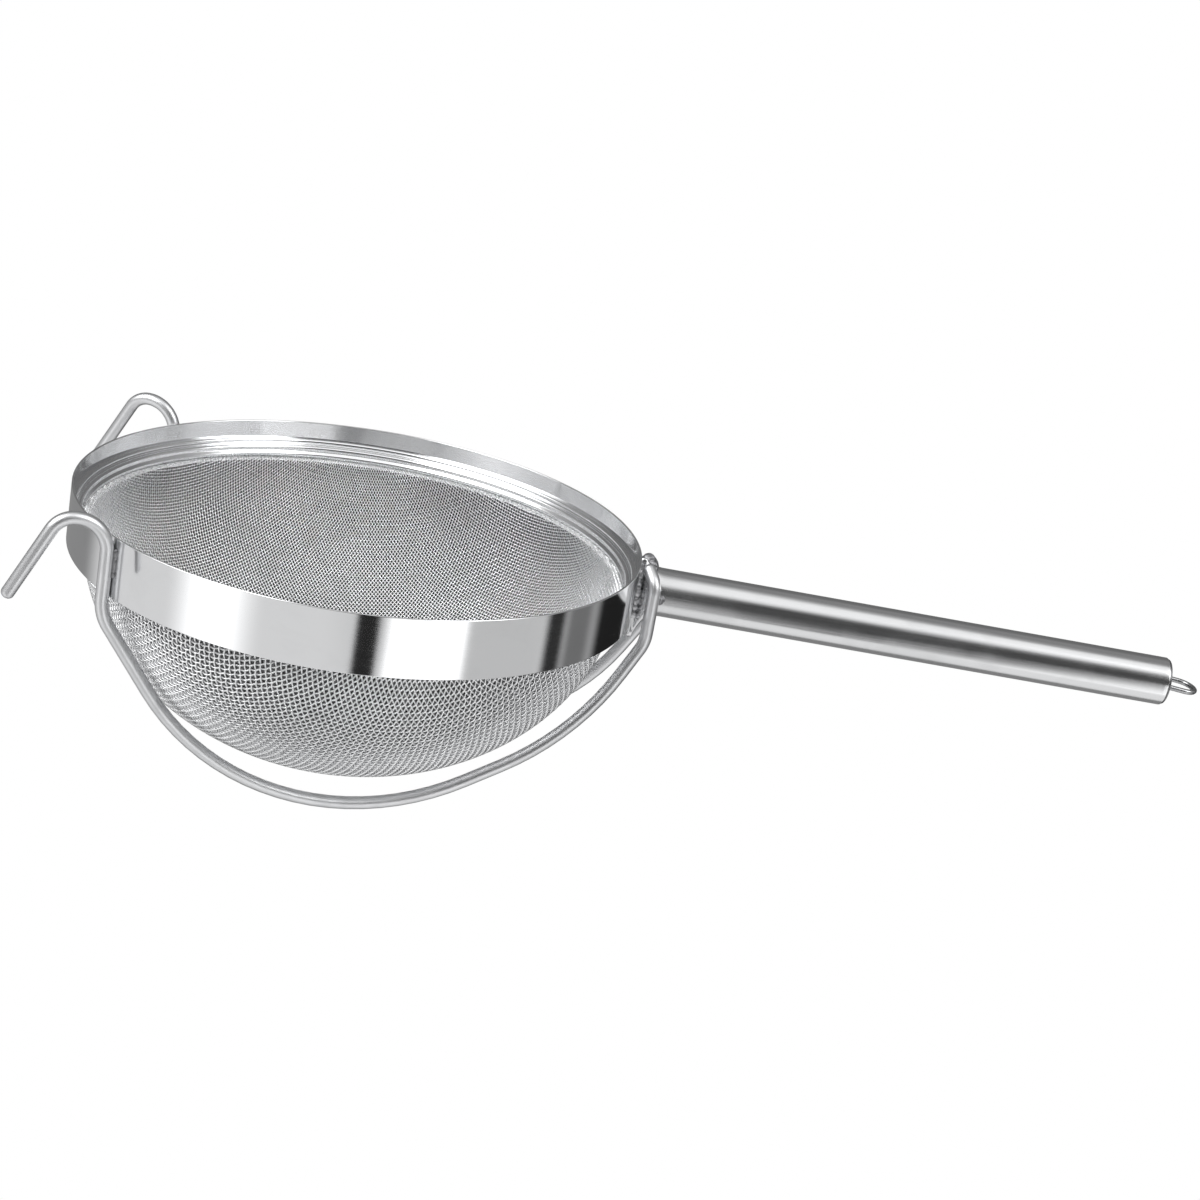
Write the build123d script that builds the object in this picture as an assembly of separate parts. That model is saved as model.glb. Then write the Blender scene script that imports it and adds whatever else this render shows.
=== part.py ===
"""Round strainer with a wire mesh bowl, two hooked support wires and a tube handle.

Millimetres, Z up. The origin is the centre of the rim band's top edge, and the
handle points along +X. Each function builds one piece or one group of like pieces.
"""

import math
import os

from build123d import *

# Rim band, a polished strip bent into a ring
rim_diameter = 220.0
rim_height = 22.8
rim_thickness = 0.8
rim_edge_share = 0.4

# Clamp ring, pressed inside the band above the edge of the mesh
ring_drop = 7.2
ring_reach = 4.8
ring_fall = 5.6
ring_foot = 1.4
ring_bead_radius = 1.15
ring_bead_shares = (0.2, 0.62)
ring_clearance = 0.05

# Mesh bowl, two layers of woven wire that end in a flat edge under the ring
mesh_inset = 5.0
mesh_depth = 85.1
outer_layer_thickness = 1.0
inner_layer_thickness = 0.6
layer_gap = 0.1
mesh_edge_clearance = 0.2

# Bands of each layer from its top to its lowest point, straight in section
mesh_bands = 12

# Openings in both layers, a coarse square grid that stands for the fine mesh
opening_count = 12
opening_share = 0.6
opening_limit_share = 0.97
opening_turn = 61.0

# Support wires, each bent in one upright plane
wire_diameter = 5.0
wire_gap = 0.05
hook_angle = 41.5
hook_rise = 6.8
hook_span = 17.6
hook_leg_radius = 12.0
hook_tip_radius = 9.0
hook_tip_reach = 34.0
hook_tip_drop = 24.4
leg_drop = 29.1
leg_bend_radius = 20.0
bow_front_shares = (0.326, 1.312)
bow_back_shares = (0.894, 0.716)
bow_radius_share = 0.95
root_drop = 31.0
root_bend_radius = 14.0
root_lean_drop = 7.4
root_lean_radius = 7.0
wire_top_drop = 1.1
wire_end_share = 0.85

# Handle, a round tube flattened into an upright blade where it meets the band
tube_diameter = 19.0
tube_wall = 1.0
handle_drop = 13.4
handle_droop_angle = 1.0
blade_thickness = 4.4
blade_height = 33.0
blade_top_drop = 0.8
blade_length = 1.6
flare_length = 9.6
flare_shares = (0, 0.12, 0.25, 0.4, 0.6, 0.8, 1)
root_setback = 5.0
handle_length = 213.4
tube_end_round = 0.45

# End cap and hanging loop
cap_depth = 7.0
cap_clearance = 0.05
cap_lip = 0.8
cap_lip_inset = 0.5
cap_edge_round = 0.35
loop_wire_diameter = 2.1
loop_spacing = 11.2
loop_reach = 14.1
loop_tail = 4.0
loop_hole_clearance = 0.05

# Welds
hook_bead_radius = 1.3
hook_bead_length = 11.0
hook_bead_drop = 4.5
hook_bead_side_share = 0.75
blade_bead_radius = 2.1
blade_bead_shares = (0.16, 0.27, 0.38, 0.49, 0.6, 0.7)
root_bead_radius = 2.2
tip_bead_radius = 2.0
loop_bead_radius = 1.1
bead_lift_share = 0.25

rim_radius = rim_diameter / 2
rim_inner_radius = rim_radius - rim_thickness
mesh_radius = rim_inner_radius - mesh_inset
wire_radius = wire_diameter / 2
tube_radius = tube_diameter / 2
tube_bore_radius = tube_radius - tube_wall
leg_radius = rim_radius + wire_radius + wire_gap
ring_bottom = -(ring_drop + ring_fall + ring_foot)
inner_mesh_top = ring_bottom - ring_clearance
outer_mesh_top = inner_mesh_top - inner_layer_thickness - layer_gap
bowl_drop = mesh_depth - outer_mesh_top
blade_end = rim_radius + blade_length
tube_start = blade_end + flare_length
tube_end = rim_radius + handle_length
root_x = tube_start - root_setback
root_y = tube_radius + wire_radius + wire_gap
blade_sag = blade_height / 2 - handle_drop + blade_top_drop
tip_x = leg_radius
tip_y = blade_thickness / 2 + wire_radius + wire_gap
tip_z = -blade_top_drop - wire_top_drop


def ring_of(section):
    """Turn a section drawn as radius and height into a ring about the Z axis."""
    return revolve(Plane.XZ * section, axis=Axis.Z)


def box_section(inner, outer, bottom, top):
    """Rectangle between two radii and two heights."""
    width = outer - inner
    height = top - bottom
    return Pos((inner + outer) / 2, (bottom + top) / 2) * Rectangle(width, height)


def rim_band():
    section = box_section(rim_inner_radius, rim_radius, -rim_height, 0)
    band = ring_of(section)
    return fillet(band.edges(), rim_thickness * rim_edge_share)


def mesh_clamp_ring():
    """Sloping ring with two rolled beads on its upper face."""
    wall = rim_inner_radius - ring_clearance
    lip = wall - ring_reach
    top = (wall, -ring_drop)
    edge = (lip, -ring_drop - ring_fall)
    outline = Polyline(top, edge, (lip, ring_bottom), (wall, ring_bottom), close=True)
    section = make_face(outline)
    for share in ring_bead_shares:
        place = Pos(wall - ring_reach * share, -ring_drop - ring_fall * share)
        bead = place * Circle(ring_bead_radius)
        section += bead & box_section(lip, wall, ring_bottom, 0)
    return ring_of(section)


def mesh_openings():
    """Upright square prisms, one through each opening of the bowl."""
    pitch = 2 * mesh_radius / opening_count
    side = pitch * opening_share
    limit = mesh_radius * opening_limit_share - side / math.sqrt(2)
    squares = Sketch()
    for place in GridLocations(pitch, pitch, opening_count, opening_count):
        if place.position.length < limit:
            squares += place * Rectangle(side, side)
    return extrude(Rot(0, 0, opening_turn) * squares, amount=-2 * bowl_drop)


def bowl_line(radius, depth, top):
    """Points of a quarter ellipse, from the bowl's widest line to its lowest point."""
    turns = [math.pi / 2 * band / mesh_bands for band in range(mesh_bands + 1)]
    return [(radius * math.cos(turn), top - depth * math.sin(turn)) for turn in turns]


def mesh_layer(radius, depth, thickness, top):
    """Half an ellipsoid of cloth with openings and a flat edge that reaches the band."""
    inner_radius = radius - thickness
    outer_line = bowl_line(radius, depth, top)
    inner_line = bowl_line(inner_radius, depth - thickness, top)
    section = make_face(Polyline(*outer_line, *reversed(inner_line), close=True))
    rim = rim_inner_radius - mesh_edge_clearance
    section += box_section(inner_radius, rim, top - thickness, top)
    return ring_of(section) - mesh_openings()


def inner_mesh():
    radius = mesh_radius - outer_layer_thickness - layer_gap
    depth = mesh_depth - outer_layer_thickness
    return mesh_layer(radius, depth, inner_layer_thickness, inner_mesh_top)


def outer_mesh():
    return mesh_layer(mesh_radius, mesh_depth, outer_layer_thickness, outer_mesh_top)


def hook_foot(side):
    """Point on a hook leg's axis at the height of the rim's top edge."""
    turn = math.radians(hook_angle)
    return Vector(-leg_radius * math.cos(turn), side * leg_radius * math.sin(turn), 0)


def wire_corners(side):
    """Corners of one support wire's route, from the hook's tip to the handle.

    The bow's corners lie at shares of the way across and of the bowl's whole drop.
    """
    foot = hook_foot(side)
    root = Vector(root_x, side * root_y, 0)
    along = (root - foot).normalized()
    span = (root - foot).length
    rise = Vector(0, 0, 1)
    front_across, front_down = bow_front_shares
    back_across, back_down = bow_back_shares
    return [
        foot - along * hook_tip_reach - rise * hook_tip_drop,
        foot - along * hook_span + rise * hook_rise,
        foot + rise * hook_rise,
        foot - rise * leg_drop,
        foot + along * (span * front_across) - rise * (bowl_drop * front_down),
        foot + along * (span * back_across) - rise * (bowl_drop * back_down),
        root - rise * root_drop,
        root - rise * root_lean_drop,
        Vector(tip_x, side * tip_y, tip_z),
    ]


def support_wire(side):
    corners = wire_corners(side)
    bends = [
        hook_tip_radius,
        hook_leg_radius,
        leg_bend_radius,
        mesh_radius * bow_radius_share,
        mesh_radius * bow_radius_share,
        root_bend_radius,
        root_lean_radius,
    ]
    path = FilletPolyline(*corners, radius=bends)
    start = Plane(origin=corners[0], z_dir=corners[1] - corners[0])
    wire = sweep(start * Circle(wire_radius), path=path)
    tips = (corners[0], corners[-1])
    rims = [edge for edge in wire.edges() if is_tip_edge(edge, tips)]
    return fillet(rims, wire_radius * wire_end_share)


def is_tip_edge(edge, tips):
    """True for the circle round either end of a wire."""
    if edge.geom_type != GeomType.CIRCLE:
        return False
    return min((edge.arc_center - tip).length for tip in tips) < wire_gap


def along_handle(x, y=0):
    """Place on the handle's axis, before it droops, that looks along +X."""
    return Plane(origin=(x, y, -handle_drop), x_dir=(0, 1, 0), z_dir=(1, 0, 0))


def droop(piece):
    """Lower a piece's far end by turning it about the handle's root."""
    pivot = Pos(rim_radius, 0, -handle_drop)
    return pivot * Rot(0, handle_droop_angle, 0) * pivot.inverse() * piece


def flare_section(share, shrink):
    """Section of the handle at a share of the way from the blade to the round tube."""
    ease = 1 - (1 - share) ** 3
    half_width = (blade_thickness + (tube_diameter - blade_thickness) * ease) / 2
    half_height = (blade_height + (tube_diameter - blade_height) * ease) / 2
    sag = blade_sag * (1 - ease)
    place = along_handle(blade_end + flare_length * share) * Pos(0, -sag)
    return place * Ellipse(half_width - shrink, half_height - shrink)


def handle_solid(shrink):
    """Outside of the handle, or its bore when shrunk by the wall."""
    solid = extrude(flare_section(0, shrink), amount=-2 * blade_length)
    solid += loft([flare_section(share, shrink) for share in flare_shares])
    straight = tube_end - tube_start
    solid += extrude(along_handle(tube_start) * Circle(tube_radius - shrink), amount=straight)
    return solid


def rim_block():
    """Solid cylinder that stands for the band wherever a piece is cut to fit it."""
    return Cylinder(rim_radius + wire_gap, 2 * (rim_height + blade_height))


def handle_tube():
    outside = handle_solid(0)
    lip = outside.edges().filter_by(GeomType.CIRCLE).sort_by(Axis.X)[-1]
    tube = fillet(lip, tube_end_round) - handle_solid(tube_wall)
    return droop(tube) - rim_block()


def handle_end_cap():
    plug_radius = tube_bore_radius - cap_clearance
    plug_length = cap_depth + cap_clearance
    cap = extrude(along_handle(tube_end - cap_depth) * Circle(plug_radius), amount=plug_length)
    lip_place = along_handle(tube_end + cap_clearance)
    lip = extrude(lip_place * Circle(tube_radius - cap_lip_inset), amount=cap_lip)
    cap += fillet(lip.edges().sort_by(Axis.X)[-1], cap_edge_round)
    for side in (-1, 1):
        start = along_handle(tube_end - cap_depth, side * loop_spacing / 2)
        hole = start * Circle(loop_wire_diameter / 2 + loop_hole_clearance)
        cap -= extrude(hole, amount=plug_length + cap_lip)
    return droop(cap)


def hanging_loop():
    """U of thin wire, lying flat, with its two legs through the cap."""
    start_x = tube_end - cap_depth - loop_tail
    turn_radius = loop_spacing / 2
    turn_x = tube_end + loop_reach - loop_wire_diameter / 2 - turn_radius
    near = Vector(turn_x, -turn_radius, -handle_drop)
    tip = Vector(turn_x + turn_radius, 0, -handle_drop)
    far = Vector(turn_x, turn_radius, -handle_drop)
    legs = Vector(turn_x - start_x, 0, 0)
    path = Line(near - legs, near) + ThreePointArc(near, tip, far) + Line(far, far - legs)
    section = along_handle(start_x, -turn_radius) * Circle(loop_wire_diameter / 2)
    return droop(sweep(section, path=path))


def loop_weld(loop):
    """Beads round the loop's legs, inside the tube behind the cap."""
    beads = Part()
    for side in (-1, 1):
        place = along_handle(tube_end - cap_depth, side * loop_spacing / 2)
        bead = place * Circle(loop_wire_diameter / 2 + loop_bead_radius)
        beads += extrude(bead, amount=-loop_bead_radius)
    return droop(beads) - loop


def hook_weld(side, wire):
    """Two thin upright beads that join one hook's leg to the band."""
    outward = hook_foot(side).normalized()
    sideways = Vector(-outward.Y, outward.X, 0) * (wire_radius * hook_bead_side_share)
    down = Vector(0, 0, hook_bead_drop + hook_bead_length / 2)
    beads = Part()
    for hand in (-1, 1):
        bead = Cylinder(hook_bead_radius, hook_bead_length)
        bead = fillet(bead.edges().filter_by(GeomType.CIRCLE), hook_bead_radius / 2)
        beads += Pos(outward * rim_radius + sideways * hand - down) * bead
    return beads - wire - rim_block()


def blade_weld(core, wires):
    """Lumpy beads down both sides of the blade, against the band."""
    lift = blade_bead_radius * bead_lift_share
    beads = Part()
    for side in (-1, 1):
        for share in blade_bead_shares:
            seat_y = side * (blade_thickness / 2 + lift)
            seat = Pos(rim_radius + lift, seat_y, -blade_top_drop - blade_height * share)
            beads += seat * Sphere(blade_bead_radius)
    return beads - core - wires - rim_block()


def root_weld(side, wire, core):
    """Bead between one support wire and the side of the handle."""
    seat_y = side * (tube_radius + root_bead_radius * bead_lift_share)
    seat = Pos(root_x + wire_radius, seat_y, -handle_drop)
    return seat * Sphere(root_bead_radius) - wire - core


def tip_weld(side, wire, core):
    """Bead that holds the top end of one support wire to the blade."""
    seat_y = side * (blade_thickness / 2 + tip_bead_radius * bead_lift_share)
    seat = Pos(tip_x + wire_radius, seat_y, tip_z - tip_bead_radius)
    return seat * Sphere(tip_bead_radius) - wire - core - rim_block()


def build_pieces():
    """All pieces by name."""
    near_wire = support_wire(-1)
    far_wire = support_wire(1)
    core = droop(handle_solid(0))
    loop = hanging_loop()
    return {
        "rim_band": rim_band(),
        "mesh_clamp_ring": mesh_clamp_ring(),
        "outer_mesh": outer_mesh(),
        "inner_mesh": inner_mesh(),
        "near_support_wire": near_wire,
        "far_support_wire": far_wire,
        "near_hook_weld": hook_weld(-1, near_wire),
        "far_hook_weld": hook_weld(1, far_wire),
        "near_root_weld": root_weld(-1, near_wire, core),
        "far_root_weld": root_weld(1, far_wire, core),
        "near_tip_weld": tip_weld(-1, near_wire, core),
        "far_tip_weld": tip_weld(1, far_wire, core),
        "handle_tube": handle_tube(),
        "handle_band_weld": blade_weld(core, near_wire + far_wire),
        "handle_end_cap": handle_end_cap(),
        "hanging_loop": loop,
        "loop_weld": loop_weld(loop),
    }


def main():
    os.makedirs("parts", exist_ok=True)
    for name, piece in build_pieces().items():
        export_step(piece, f"parts/{name}.step")


main()
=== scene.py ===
"""Looks of a round strainer: woven bowl, polished band, bent wires and tube handle.

Metres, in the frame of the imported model. The origin is the centre of the band's top
edge, +X runs along the handle and +Z is up.
"""

import math
import random
from typing import NamedTuple

import bmesh
import bpy
import numpy as np
from bpy.props import FloatProperty, FloatVectorProperty, IntProperty, PointerProperty
from mathutils import Matrix, Vector, noise


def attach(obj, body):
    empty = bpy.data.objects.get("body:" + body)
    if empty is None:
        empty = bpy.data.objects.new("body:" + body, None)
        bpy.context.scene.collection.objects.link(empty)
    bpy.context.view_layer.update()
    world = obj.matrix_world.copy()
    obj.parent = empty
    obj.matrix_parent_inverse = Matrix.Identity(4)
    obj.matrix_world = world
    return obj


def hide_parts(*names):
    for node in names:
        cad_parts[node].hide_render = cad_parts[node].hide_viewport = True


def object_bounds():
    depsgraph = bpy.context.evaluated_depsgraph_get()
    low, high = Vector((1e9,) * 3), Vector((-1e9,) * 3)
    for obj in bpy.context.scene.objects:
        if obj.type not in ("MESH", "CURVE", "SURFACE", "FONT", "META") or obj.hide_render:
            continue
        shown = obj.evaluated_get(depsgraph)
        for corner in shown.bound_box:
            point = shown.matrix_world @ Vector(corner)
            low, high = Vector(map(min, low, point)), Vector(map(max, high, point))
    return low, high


bl_info = {
    "name": "Round strainer",
    "version": (1, 0, 0),
    "blender": (4, 5, 0),
    "location": "View3D > Sidebar > Strainer",
    "description": "Builds the looks of a round wire strainer piece by piece",
    "category": "Add Mesh",
}

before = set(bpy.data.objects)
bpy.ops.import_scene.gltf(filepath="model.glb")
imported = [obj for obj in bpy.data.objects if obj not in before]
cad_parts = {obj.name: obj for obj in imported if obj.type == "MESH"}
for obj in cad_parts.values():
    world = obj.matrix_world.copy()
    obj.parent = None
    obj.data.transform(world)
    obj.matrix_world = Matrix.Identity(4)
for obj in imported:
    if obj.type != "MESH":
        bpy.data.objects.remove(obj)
STARTUP_OBJECTS = ("Cube", "Light", "Camera")
for startup_name in STARTUP_OBJECTS:
    if startup_name in bpy.data.objects:
        bpy.data.objects.remove(bpy.data.objects[startup_name])
CAD_BOX = [list(corner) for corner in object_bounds()]

BODY = "root"
MM = 0.001
TURN = 2 * math.pi
SIDES = {"near": -1, "far": 1}
MERGE_DISTANCE = 1e-7


def length(name, description, millimetres):
    """Property for a length, given in millimetres and kept in metres."""
    return FloatProperty(
        name=name, description=description, default=millimetres * MM, min=0, unit="LENGTH",
        precision=5,
    )


def share(name, description, default):
    """Property for a number from 0 to 1."""
    return FloatProperty(
        name=name, description=description, default=default, min=0, max=1, subtype="FACTOR"
    )


def angle(name, description, degrees):
    """Property for an angle, given in degrees and kept in radians."""
    return FloatProperty(
        name=name, description=description, default=math.radians(degrees), unit="ROTATION"
    )


def colour(name, description, default):
    """Property for a colour."""
    return FloatVectorProperty(
        name=name, description=description, default=default, size=3, min=0, max=1,
        subtype="COLOR",
    )


def count(name, description, default):
    """Property for a number of faces."""
    return IntProperty(name=name, description=description, default=default, min=3)


class BandSizes(bpy.types.PropertyGroup):
    diameter: length("Diameter", "Outside diameter of the band", 220.0)
    height: length("Height", "Height of the band", 22.8)
    thickness: length("Thickness", "Thickness of the strip", 0.8)
    edge_share: share("Edge rounding", "Edge radius as a share of the thickness", 0.4)
    segments: count("Segments", "Flat faces round the band", 400)


class RingSizes(bpy.types.PropertyGroup):
    drop: length("Drop", "Depth of the ring's upper edge below the band's", 7.2)
    reach: length("Reach", "How far the ring slopes inwards", 4.8)
    fall: length("Fall", "How far the ring slopes down", 5.6)
    foot: length("Foot", "Height of the ring's upright inner edge", 1.4)
    bead_radius: length("Bead radius", "Radius of the two rolled beads", 1.15)
    first_bead: share("First bead", "Place of the upper bead down the slope", 0.2)
    second_bead: share("Second bead", "Place of the lower bead down the slope", 0.62)
    clearance: length("Clearance", "Gap to the band", 0.05)
    segments: count("Segments", "Flat faces round the ring", 360)


class ClothSizes(bpy.types.PropertyGroup):
    inset: length("Inset", "Gap between the band and the bowl's widest line", 5.0)
    depth: length("Depth", "Depth of the bowl", 85.1)
    gap: length("Layer gap", "Gap between the two layers", 0.1)
    outer_wire: length("Outer wire", "Wire diameter of the outer cloth", 0.5)
    outer_pitch: length("Outer pitch", "Spacing of the outer cloth's wires", 2.05)
    outer_turn: angle("Outer turn", "Turn of the outer cloth about the bowl's axis", 61)
    inner_wire: length("Inner wire", "Wire diameter of the inner cloth", 0.3)
    inner_pitch: length("Inner pitch", "Spacing of the inner cloth's wires", 1.29)
    inner_turn: angle("Inner turn", "Turn of the inner cloth about the bowl's axis", 51)
    fold_radius: length("Fold radius", "Radius of the fold into the flat edge", 1.2)
    edge_gap: length("Edge gap", "Gap between the cloth's cut edge and the band", 0.6)
    fullness: FloatProperty(
        name="Fullness",
        description="How far a woven wire's four corners stand out, in wire radii",
        default=1.28,
        min=1,
    )


# Sizes of the two thin dark skins and how much they cover: painted shade in the gaps between the
# wires.
class ShadeSizes(bpy.types.PropertyGroup):
    thickness: length("Thickness", "Thickness of a dark skin", 0.02)
    inset: length("Inset", "Gap from the outer cloth in to the skin between the cloths", 0.045)
    lift: length("Lift", "How much shallower that skin is than half way", 0.2)
    clearance: length("Clearance", "Gap from the outer cloth out to the skin round it", 0.1)
    between_inside: share("Between, inside", "Its cover seen from inside the bowl", 0.96)
    between_outside: share("Between, outside", "Its cover seen from outside the bowl", 0.84)
    behind_inside: share("Behind, inside", "The outer skin's cover seen from inside", 0.94)
    behind_outside: share("Behind, outside", "The outer skin's cover seen from outside", 0.0)
    segments: count("Segments", "Flat faces round a skin", 224)


class WireSizes(bpy.types.PropertyGroup):
    diameter: length("Diameter", "Diameter of the support wires", 5.0)
    gap: length("Gap", "Gap to the band and the handle", 0.05)
    hook_angle: angle("Hook angle", "Angle of each hook from the back of the band", 41.5)
    hook_rise: length("Hook rise", "Height of the hook's corner above the band", 6.795)
    hook_span: length("Hook span", "Width of the hook", 17.6)
    tip_reach: length("Tip reach", "Reach of the hook's tip from its leg", 33.97)
    tip_drop: length("Tip drop", "Depth of the hook's tip below the band's edge", 24.4)
    leg_drop: length("Leg drop", "Depth of the bend below the band", 29.1)
    root_drop: length("Root drop", "Depth of the last bend before the handle", 31.0)
    lean_drop: length("Lean drop", "Depth at which the wire leans to the blade", 7.4)
    tip_share: share("Tip rounding", "Rounding of the wire's ends", 0.85)
    segments: count("Segments", "Flat faces round the wire", 32)


class HandleSizes(bpy.types.PropertyGroup):
    diameter: length("Diameter", "Diameter of the tube", 19.0)
    wall: length("Wall", "Wall of the tube", 1.0)
    drop: length("Drop", "Depth of the handle's axis below the band's edge", 13.4)
    droop: angle("Droop", "Slope of the handle", 1.0)
    blade_thickness: length("Blade thickness", "Thickness of the flattened end", 4.4)
    blade_height: length("Blade height", "Height of the flattened end", 33.0)
    blade_top_drop: length("Blade drop", "Depth of the blade's top edge", 0.8)
    blade_length: length("Blade length", "Length of the flattened end", 1.6)
    flare_length: length("Flare length", "Length over which the blade turns round", 9.6)
    reach: length("Reach", "Length of the handle from the band", 213.4)
    end_round: length("End rounding", "Rounding of the tube's open end", 0.45)
    segments: count("Segments", "Flat faces round the tube", 128)


class CapSizes(bpy.types.PropertyGroup):
    depth: length("Depth", "Depth of the plug in the tube", 7.0)
    clearance: length("Clearance", "Gap to the tube", 0.05)
    lip: length("Lip", "Thickness of the cap's lip", 0.8)
    lip_inset: length("Lip inset", "Inset of the lip from the tube's outside", 0.5)
    edge_round: length("Edge rounding", "Rounding of the lip", 0.35)
    plug_round: length("Plug rounding", "Rounding of the plug's inner edge", 0.4)
    loop_wire: length("Loop wire", "Wire diameter of the hanging loop", 2.1)
    loop_spacing: length("Loop spacing", "Distance between the loop's legs", 11.2)
    loop_reach: length("Loop reach", "Reach of the loop beyond the tube", 14.1)
    loop_tail: length("Loop tail", "Length of the legs behind the plug", 4.0)
    loop_tilt: angle("Loop tilt", "Downward bend of the loop where it leaves the cap", 5.0)


class SteelColours(bpy.types.PropertyGroup):
    polished: colour("Polished steel", "Colour of the band and the ring", (0.86, 0.865, 0.875))
    woven: colour("Woven wire", "Colour of the cloth's wires", (0.94, 0.945, 0.955))
    drawn: colour("Drawn wire", "Colour of the support wires", (0.64, 0.645, 0.655))
    satin: colour("Satin steel", "Colour of the handle", (0.72, 0.724, 0.732))
    # The end cap's colour is a darker copy of the satin tube's steel: painted shade.
    cap: colour("End cap", "Colour of the handle's end cap", (0.2, 0.2, 0.205))
    # The loop's colour is a darker copy of the drawn wire's steel: painted shade.
    loop: colour("Loop wire", "Colour of the hanging loop", (0.4, 0.402, 0.41))
    weld: colour("Weld", "Colour of the weld beads", (0.26, 0.26, 0.27))
    # The blade's beads take a lighter copy of the weld colour: painted highlight.
    blade_weld_highlight: colour("Blade weld", "Colour of the beads down the blade", (0.7, 0.7, 0.715))
    stain: colour("Stain", "Colour of the darker marks", (0.42, 0.42, 0.43))
    # shade_dark and shade_light colour the thin dark skins: painted shade in the gaps between
    # the wires.
    shade_dark: colour("Dark gap", "Darkest colour between the wires", (0.02, 0.02, 0.021))
    shade_light: colour("Light gap", "Lightest colour between the wires", (0.06, 0.06, 0.062))


class StageSizes(bpy.types.PropertyGroup):
    floor_size: length("Floor size", "Side of the floor", 9000.0)
    floor_gap: length("Floor gap", "Gap between the floor and the strainer", 0.4)
    focal_length: FloatProperty(
        name="Focal length", description="Focal length in millimetres", default=71.881, min=1
    )
    floor_colour: colour("Floor", "Colour of the floor", (1.0, 1.0, 1.0))


class StrainerSettings(bpy.types.PropertyGroup):
    band: PointerProperty(type=BandSizes)
    ring: PointerProperty(type=RingSizes)
    cloth: PointerProperty(type=ClothSizes)
    shade: PointerProperty(type=ShadeSizes)
    wires: PointerProperty(type=WireSizes)
    handle: PointerProperty(type=HandleSizes)
    cap: PointerProperty(type=CapSizes)
    steel: PointerProperty(type=SteelColours)
    stage: PointerProperty(type=StageSizes)


def settings():
    return bpy.context.scene.strainer


ARC_STEP = math.radians(4)
EDGE_STEP = math.radians(15)
SUPPORT_SHARE = 0.3


def filleted(corners, radii, step=ARC_STEP, closed=False, supported=True):
    """Points of a line whose corners are rounded, in two or three dimensions.

    A support point may stand just outside each end of an arc, so that smooth shading
    doesn't bend the straight runs.
    """
    corners = np.array(corners, float)
    radii = np.array(radii, float)
    if not closed:
        radii[[0, -1]] = 0
    back = np.roll(corners, 1, axis=0) - corners
    on = np.roll(corners, -1, axis=0) - corners
    back_length = np.linalg.norm(back, axis=1)
    on_length = np.linalg.norm(on, axis=1)
    back /= back_length[:, None]
    on /= on_length[:, None]
    opening = np.arccos(np.clip((back * on).sum(axis=1), -1, 1))
    cuts = radii * np.tan((math.pi - opening) / 2)
    free_back = back_length - cuts - np.roll(cuts, 1)
    free_on = on_length - cuts - np.roll(cuts, -1)
    points = []
    for index, corner in enumerate(corners):
        radius, cut = radii[index], cuts[index]
        if radius == 0:
            points.append(corner)
            continue
        sweep = math.pi - opening[index]
        bisector = back[index] + on[index]
        bisector /= np.linalg.norm(bisector)
        centre = corner + bisector * (radius / math.sin(opening[index] / 2))
        start = corner + back[index] * cut
        end = corner + on[index] * cut
        if supported:
            points.append(start + back[index] * min(cut, free_back[index]) * SUPPORT_SHARE)
        for part in np.linspace(0, 1, max(2, math.ceil(sweep / step)) + 1):
            blend = (
                math.sin((1 - part) * sweep) * (start - centre)
                + math.sin(part * sweep) * (end - centre)
            ) / math.sin(sweep)
            points.append(centre + blend)
        if supported:
            points.append(end + on[index] * min(cut, free_on[index]) * SUPPORT_SHARE)
    return np.array(points)


def grid_faces(rows, columns):
    """Quads of a grid of points, numbered row by row, that closes in both directions."""
    here, across = np.meshgrid(np.arange(rows), np.arange(columns), indexing="ij")
    below = (here + 1) % rows
    beside = (across + 1) % columns
    corners = ((here, across), (below, across), (below, beside), (here, beside))
    return np.stack([row * columns + column for row, column in corners], -1).reshape(-1, 4)


def smooth_mesh(name, points, faces, material):
    """Closed, smooth mesh with its faces outwards."""
    mesh = bpy.data.meshes.new(name)
    mesh.from_pydata(np.asarray(points).tolist(), [], [list(face) for face in faces])
    shape = bmesh.new()
    shape.from_mesh(mesh)
    bmesh.ops.remove_doubles(shape, verts=shape.verts, dist=MERGE_DISTANCE)
    bmesh.ops.recalc_face_normals(shape, faces=shape.faces)
    shape.to_mesh(mesh)
    shape.free()
    mesh.shade_smooth()
    mesh.materials.append(material)
    return mesh


def turned(outline, segments):
    """Points and quads of a closed outline, as radius and height, turned about Z."""
    outline = np.asarray(outline)
    turn = np.arange(segments) * TURN / segments
    points = np.stack(
        [
            np.outer(np.cos(turn), outline[:, 0]),
            np.outer(np.sin(turn), outline[:, 0]),
            np.outer(np.ones(segments), outline[:, 1]),
        ],
        axis=-1,
    )
    return points.reshape(-1, 3), grid_faces(segments, len(outline))


def keep_piece(name, mesh, slot, *nodes):
    """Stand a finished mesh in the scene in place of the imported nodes."""
    piece = bpy.data.objects.new(name, mesh)
    bpy.context.scene.collection.objects.link(piece)
    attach(piece, BODY)
    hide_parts(*nodes)
    return piece


def place_node(tree, kind, inputs=None, **values):
    """Add a node, set its values and fill or link its inputs."""
    node = tree.nodes.new(kind)
    for key, value in values.items():
        setattr(node, key, value)
    for key, value in (inputs or {}).items():
        if isinstance(value, bpy.types.NodeSocket):
            tree.links.new(value, node.inputs[key])
        else:
            node.inputs[key].default_value = value
    return node


def output_of(tree, kind, inputs=None, **values):
    """Add a node as place_node does, and give its first output."""
    return place_node(tree, kind, inputs, **values).outputs[0]


def maths(tree, operation, *values):
    """Output of a Math node."""
    return output_of(tree, "ShaderNodeMath", dict(enumerate(values)), operation=operation)


def vector_maths(tree, operation, *values):
    """Vector output of a Vector Math node."""
    inputs = dict(enumerate(values))
    return output_of(tree, "ShaderNodeVectorMath", inputs, operation=operation)


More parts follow.
